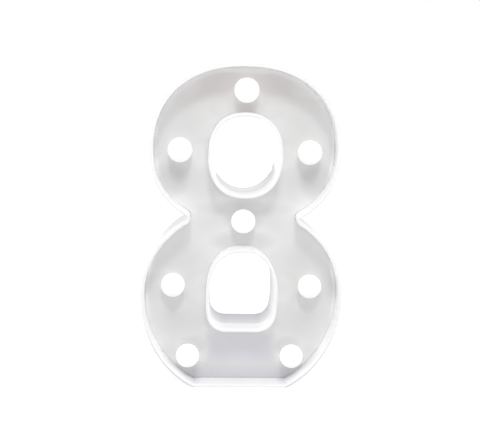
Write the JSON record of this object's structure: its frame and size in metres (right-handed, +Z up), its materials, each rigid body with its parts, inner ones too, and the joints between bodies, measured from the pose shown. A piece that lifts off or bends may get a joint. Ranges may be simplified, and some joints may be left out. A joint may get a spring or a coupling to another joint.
{
  "type": "light up marquee number",
  "caption": "White moulded marquee figure 8 with a recessed face, opal bulbs round its open counters, a flat foot, a screwed back cover, a battery door and a slide switch.",
  "frame": {"origin": "middle of the foot's underside, which is the bottom centre of the bounding box", "axes": "+X to the right seen from the front, +Y towards the back, +Z up; the front looks along -Y"},
  "size_m": [0.1358, 0.03, 0.22],
  "materials": {
    "shell_plastic": "satin white moulding",
    "cover_plastic": "fine spark texture",
    "opal_plastic": "satin opal",
    "led_resin": "clear",
    "cell_jacket": "printed film",
    "contact_steel": "nickel plated",
    "screw_steel": "zinc plated",
    "switch_can": "tinned",
    "knob_plastic": "fine texture",
    "white_wire": "satin",
    "red_wire": "satin",
    "black_wire": "satin"
  },
  "bodies": {
    "lamp": {"front_shell": "shell_plastic", "back_cover": "cover_plastic", "switch_housing": "switch_can", "cell_upper": "cell_jacket", "cell_lower": "cell_jacket", "positive_plate": "contact_steel", "negative_plate": "contact_steel", "bridge_plate": "contact_steel", "negative_spring": "contact_steel", "bridge_spring": "contact_steel", "wire_battery_to_switch": "red_wire", "wire_switch_to_led": "red_wire", "wire_battery_to_led": "black_wire", "bulb_top": "opal_plastic", "led_top": "led_resin", "bulb_upper_left": "opal_plastic", "led_upper_left": "led_resin", "bulb_upper_right": "opal_plastic", "led_upper_right": "led_resin", "bulb_centre": "opal_plastic", "led_centre": "led_resin", "bulb_lower_left": "opal_plastic", "led_lower_left": "led_resin", "bulb_lower_right": "opal_plastic", "led_lower_right": "led_resin", "bulb_bottom_left": "opal_plastic", "led_bottom_left": "led_resin", "bulb_bottom_right": "opal_plastic", "led_bottom_right": "led_resin", "cover_screw_1": "screw_steel", "cover_screw_2": "screw_steel", "cover_screw_3": "screw_steel", "cover_screw_4": "screw_steel", "cover_screw_5": "screw_steel", "cover_screw_6": "screw_steel", "cover_screw_7": "screw_steel", "cover_screw_8": "screw_steel", "wire_link_1": "white_wire", "wire_link_2": "white_wire", "wire_link_3": "white_wire", "wire_link_4": "white_wire", "wire_link_5": "white_wire", "wire_link_6": "white_wire", "wire_link_7": "white_wire"},
    "door": {"battery_door": "cover_plastic"},
    "knob": {"switch_knob": "knob_plastic"}
  },
  "joints": [
    {"name": "door_hinge", "type": "hinge", "parent": "lamp", "child": "door", "pos_m": [0, 0.015, 0.03425], "axis": [1, 0, 0], "range_deg": [0, 90]},
    {"name": "switch_slide", "type": "slide", "parent": "lamp", "child": "knob", "axis": [0, 0, 1], "range_m": [0, 0.003]}
  ]
}
